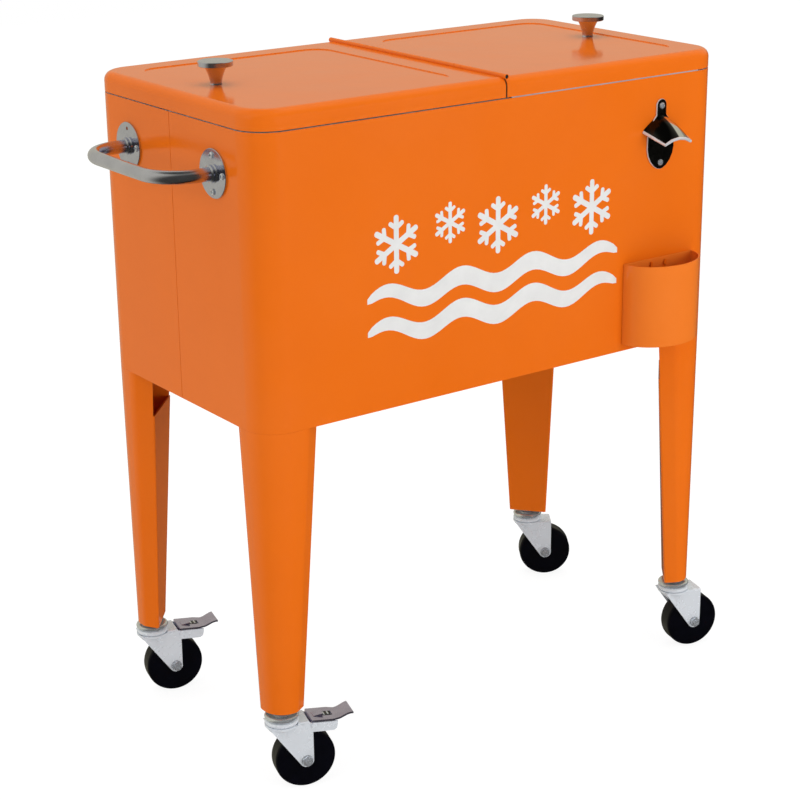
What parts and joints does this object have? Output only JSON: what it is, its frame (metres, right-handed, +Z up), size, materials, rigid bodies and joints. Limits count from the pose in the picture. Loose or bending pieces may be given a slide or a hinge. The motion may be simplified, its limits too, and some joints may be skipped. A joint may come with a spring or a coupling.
{
  "type": "rolling patio cooler",
  "caption": "Insulated sheet-steel cooler on tapered legs with swivel casters, split hinged lids, end handles, bottle opener and cap catcher.",
  "frame": {"origin": "on the floor under the middle of the bounding box", "axes": "X along the length, +X towards the end beside the bottle opener; -Y towards the front; +Z up"},
  "size_m": [0.846, 0.415, 0.8605],
  "materials": {
    "orange_paint": "gloss orange powder coat",
    "galvanised_sheet": "galvanised sheet steel",
    "liner_plastic": "off-white moulded liner",
    "foam": "rigid foam",
    "gasket_rubber": "soft grey rubber",
    "satin_steel": "satin stainless steel",
    "chrome": "polished chrome plate",
    "screw_steel": "bright zinc-plated steel",
    "drain_plastic": "black moulded plastic",
    "zinc": "blue zinc-plated pressed steel",
    "wheel_rubber": "black hard rubber"
  },
  "bodies": {
    "cabinet": {"front_shell_panel": "orange_paint", "rear_shell_panel": "orange_paint", "leg_front_left": "orange_paint", "leg_rear_left": "orange_paint", "leg_rear_right": "orange_paint", "leg_front_right": "orange_paint", "bottom_panel": "galvanised_sheet", "foot_plates": "galvanised_sheet", "inner_liner": "liner_plastic", "hinge_bar": "liner_plastic", "insulation_foam": "foam", "handle_left_tube": "satin_steel", "handle_right_tube": "satin_steel", "handle_left_flanges": "satin_steel", "handle_right_flanges": "satin_steel", "bottle_opener": "chrome", "handle_screws": "screw_steel", "opener_screws": "screw_steel", "hinge_rod": "screw_steel", "catcher_hooks": "screw_steel", "leg_bolts": "screw_steel", "stem_nuts": "screw_steel", "drain_spout": "drain_plastic", "drain_nut": "drain_plastic", "caster_front_left_stem": "zinc", "caster_rear_left_stem": "zinc", "caster_rear_right_stem": "zinc", "caster_front_right_stem": "zinc"},
    "lid_left": {"lid_left_skin": "orange_paint", "lid_left_pan": "liner_plastic", "lid_left_foam": "foam", "lid_left_gasket": "gasket_rubber", "lid_left_knob": "chrome", "lid_left_knob_screw": "screw_steel"},
    "lid_right": {"lid_right_skin": "orange_paint", "lid_right_pan": "liner_plastic", "lid_right_foam": "foam", "lid_right_gasket": "gasket_rubber", "lid_right_knob": "chrome", "lid_right_knob_screw": "screw_steel"},
    "caster_front_left": {"caster_front_left_fork": "zinc", "caster_front_left_axle": "zinc", "brake_front_left_rivet": "zinc"},
    "wheel_front_left": {"caster_front_left_wheel": "wheel_rubber"},
    "brake_front_left": {"brake_front_left_pedal": "zinc"},
    "caster_rear_left": {"caster_rear_left_fork": "zinc", "caster_rear_left_axle": "zinc", "brake_rear_left_rivet": "zinc"},
    "wheel_rear_left": {"caster_rear_left_wheel": "wheel_rubber"},
    "brake_rear_left": {"brake_rear_left_pedal": "zinc"},
    "caster_rear_right": {"caster_rear_right_fork": "zinc", "caster_rear_right_axle": "zinc"},
    "wheel_rear_right": {"caster_rear_right_wheel": "wheel_rubber"},
    "caster_front_right": {"caster_front_right_fork": "zinc", "caster_front_right_axle": "zinc"},
    "wheel_front_right": {"caster_front_right_wheel": "wheel_rubber"},
    "cap_catcher": {"cap_catcher": "orange_paint"},
    "drain_cap": {"drain_cap": "drain_plastic"}
  },
  "joints": [
    {"name": "lid_left_hinge", "type": "hinge", "parent": "cabinet", "child": "lid_left", "pos_m": [0, 0.0235, 0.838], "axis": [0, 1, 0], "range_deg": [0, 82]},
    {"name": "lid_right_hinge", "type": "hinge", "parent": "cabinet", "child": "lid_right", "pos_m": [0, 0.0235, 0.838], "axis": [0, -1, 0], "range_deg": [0, 82]},
    {"name": "swivel_front_left", "type": "hinge", "parent": "cabinet", "child": "caster_front_left", "pos_m": [-0.3235, -0.136, 0.0932], "axis": [0, 0, 1], "continuous": true},
    {"name": "roll_front_left", "type": "hinge", "parent": "caster_front_left", "child": "wheel_front_left", "pos_m": [-0.29864, -0.1436, 0.038], "axis": [-0.2924, -0.9563, 0], "continuous": true},
    {"name": "brake_front_left_press", "type": "hinge", "parent": "caster_front_left", "child": "brake_front_left", "pos_m": [-0.28907, -0.14652, 0.084], "axis": [-0.2924, -0.9563, 0], "range_deg": [0, 10]},
    {"name": "swivel_rear_left", "type": "hinge", "parent": "cabinet", "child": "caster_rear_left", "pos_m": [-0.3235, 0.183, 0.0932], "axis": [0, 0, 1], "continuous": true},
    {"name": "roll_rear_left", "type": "hinge", "parent": "caster_rear_left", "child": "wheel_rear_left", "pos_m": [-0.29827, 0.17671, 0.038], "axis": [-0.2419, -0.9703, 0], "continuous": true},
    {"name": "brake_rear_left_press", "type": "hinge", "parent": "caster_rear_left", "child": "brake_rear_left", "pos_m": [-0.28857, 0.17429, 0.084], "axis": [-0.2419, -0.9703, 0], "range_deg": [0, 10]},
    {"name": "swivel_rear_right", "type": "hinge", "parent": "cabinet", "child": "caster_rear_right", "pos_m": [0.3235, 0.183, 0.0932], "axis": [0, 0, 1], "continuous": true},
    {"name": "roll_rear_right", "type": "hinge", "parent": "caster_rear_right", "child": "wheel_rear_right", "pos_m": [0.34506, 0.16846, 0.038], "axis": [-0.5592, -0.829, 0], "continuous": true},
    {"name": "swivel_front_right", "type": "hinge", "parent": "cabinet", "child": "caster_front_right", "pos_m": [0.3235, -0.136, 0.0932], "axis": [0, 0, 1], "continuous": true},
    {"name": "roll_front_right", "type": "hinge", "parent": "caster_front_right", "child": "wheel_front_right", "pos_m": [0.34861, -0.14273, 0.038], "axis": [-0.2588, -0.9659, 0], "continuous": true},
    {"name": "catcher_lift", "type": "slide", "parent": "cabinet", "child": "cap_catcher", "axis": [0, 0, 1], "range_m": [0, 0.005]},
    {"name": "drain_cap_turn", "type": "hinge", "parent": "cabinet", "child": "drain_cap", "pos_m": [0.367, 0.1135, 0.541], "axis": [1, 0, 0], "continuous": true}
  ]
}
